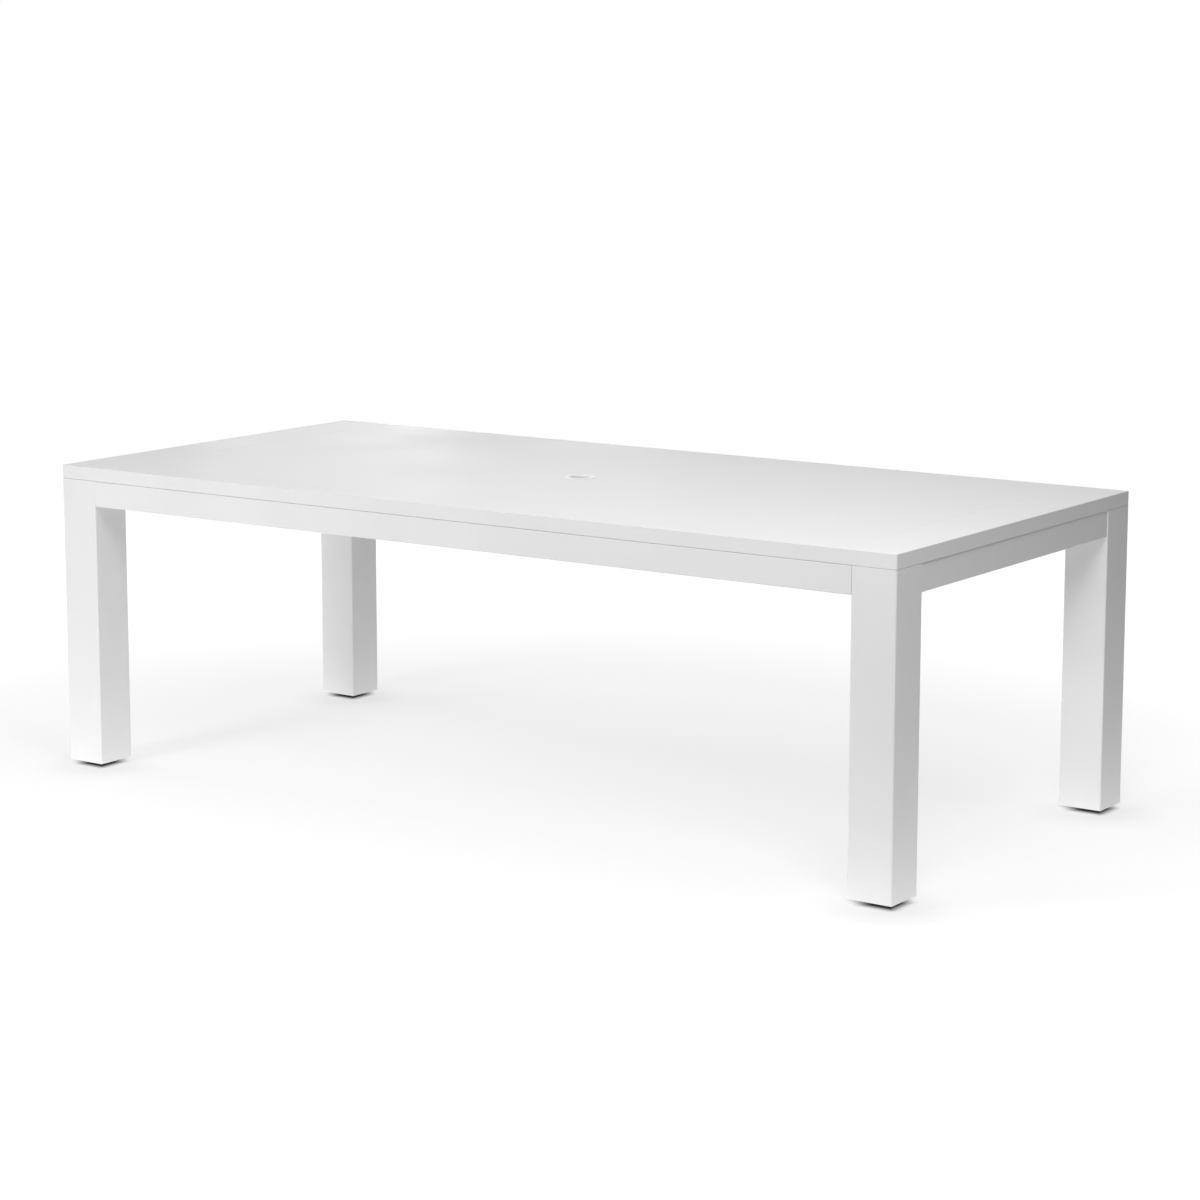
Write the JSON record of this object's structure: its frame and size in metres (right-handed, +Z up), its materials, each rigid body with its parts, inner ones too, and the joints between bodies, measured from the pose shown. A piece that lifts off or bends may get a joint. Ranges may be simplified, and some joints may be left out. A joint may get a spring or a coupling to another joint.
{
  "type": "parsons dining table",
  "caption": "Rectangular Parsons dining table in white powder-coated aluminium: slab top with inset panel and umbrella hole, flush square legs, shallow apron and screw-in levelling feet.",
  "frame": {"origin": "on the floor under the middle of the table", "axes": "+X along the table to its right end, +Y from the front to the back, +Z up"},
  "size_m": [2.286, 1.0668, 0.7318],
  "materials": {
    "white_powder_coat": "satin",
    "white_plastic": "satin",
    "grey_plastic": "matte",
    "black_nylon": "matte",
    "bare_aluminium": "satin",
    "zinc_steel": "satin"
  },
  "bodies": {
    "table": {"apron_back": "white_powder_coat", "apron_front": "white_powder_coat", "apron_left": "white_powder_coat", "apron_right": "white_powder_coat", "bracket_screws": "zinc_steel", "corner_bracket_back_left": "bare_aluminium", "corner_bracket_back_right": "bare_aluminium", "corner_bracket_front_left": "bare_aluminium", "corner_bracket_front_right": "bare_aluminium", "cross_rail_1": "white_powder_coat", "cross_rail_2": "white_powder_coat", "cross_rail_3": "white_powder_coat", "cross_rail_4": "white_powder_coat", "foot_plate_back_left": "white_powder_coat", "foot_plate_back_right": "white_powder_coat", "foot_plate_front_left": "white_powder_coat", "foot_plate_front_right": "white_powder_coat", "glide_nut_back_left": "zinc_steel", "glide_nut_back_right": "zinc_steel", "glide_nut_front_left": "zinc_steel", "glide_nut_front_right": "zinc_steel", "leg_back_left": "white_powder_coat", "leg_back_right": "white_powder_coat", "leg_bolts": "zinc_steel", "leg_cap_back_left": "white_powder_coat", "leg_cap_back_right": "white_powder_coat", "leg_cap_front_left": "white_powder_coat", "leg_cap_front_right": "white_powder_coat", "leg_front_left": "white_powder_coat", "leg_front_right": "white_powder_coat", "leg_rivet_nuts": "zinc_steel", "panel_rib_1": "white_powder_coat", "panel_rib_2": "white_powder_coat", "panel_rib_3": "white_powder_coat", "panel_rib_4": "white_powder_coat", "panel_rib_5": "white_powder_coat", "panel_rib_6": "white_powder_coat", "small_screws": "zinc_steel", "top_clips": "bare_aluminium", "top_panel": "white_powder_coat", "top_rail_back": "white_powder_coat", "top_rail_front": "white_powder_coat", "top_rail_left": "white_powder_coat", "top_rail_right": "white_powder_coat", "top_spacers": "grey_plastic", "umbrella_guide_plate": "white_powder_coat", "umbrella_ring": "white_plastic", "umbrella_ring_nut": "white_plastic"},
    "pad_front_left": {"glide_pad_front_left": "black_nylon"},
    "stem_front_left": {"glide_stem_front_left": "zinc_steel"},
    "pad_front_right": {"glide_pad_front_right": "black_nylon"},
    "stem_front_right": {"glide_stem_front_right": "zinc_steel"},
    "pad_back_left": {"glide_pad_back_left": "black_nylon"},
    "stem_back_left": {"glide_stem_back_left": "zinc_steel"},
    "pad_back_right": {"glide_pad_back_right": "black_nylon"},
    "stem_back_right": {"glide_stem_back_right": "zinc_steel"}
  },
  "joints": [
    {"name": "level_front_left", "type": "slide", "parent": "table", "child": "pad_front_left", "axis": [0, 0, -1], "range_m": [0, 0.012]},
    {"name": "screw_front_left", "type": "hinge", "parent": "pad_front_left", "child": "stem_front_left", "pos_m": [-1.0905, -0.4809, 0.011], "axis": [0, 0, -1], "range_deg": [0, 2880]},
    {"name": "level_front_right", "type": "slide", "parent": "table", "child": "pad_front_right", "axis": [0, 0, -1], "range_m": [0, 0.012]},
    {"name": "screw_front_right", "type": "hinge", "parent": "pad_front_right", "child": "stem_front_right", "pos_m": [1.0905, -0.4809, 0.011], "axis": [0, 0, -1], "range_deg": [0, 2880]},
    {"name": "level_back_left", "type": "slide", "parent": "table", "child": "pad_back_left", "axis": [0, 0, -1], "range_m": [0, 0.012]},
    {"name": "screw_back_left", "type": "hinge", "parent": "pad_back_left", "child": "stem_back_left", "pos_m": [-1.0905, 0.4809, 0.011], "axis": [0, 0, -1], "range_deg": [0, 2880]},
    {"name": "level_back_right", "type": "slide", "parent": "table", "child": "pad_back_right", "axis": [0, 0, -1], "range_m": [0, 0.012]},
    {"name": "screw_back_right", "type": "hinge", "parent": "pad_back_right", "child": "stem_back_right", "pos_m": [1.0905, 0.4809, 0.011], "axis": [0, 0, -1], "range_deg": [0, 2880]}
  ],
  "couplings": [
    {"joint": "level_front_left", "follows": "screw_front_left", "m_per_rad": 0.00023873},
    {"joint": "level_front_right", "follows": "screw_front_right", "m_per_rad": 0.00023873},
    {"joint": "level_back_left", "follows": "screw_back_left", "m_per_rad": 0.00023873},
    {"joint": "level_back_right", "follows": "screw_back_right", "m_per_rad": 0.00023873}
  ]
}
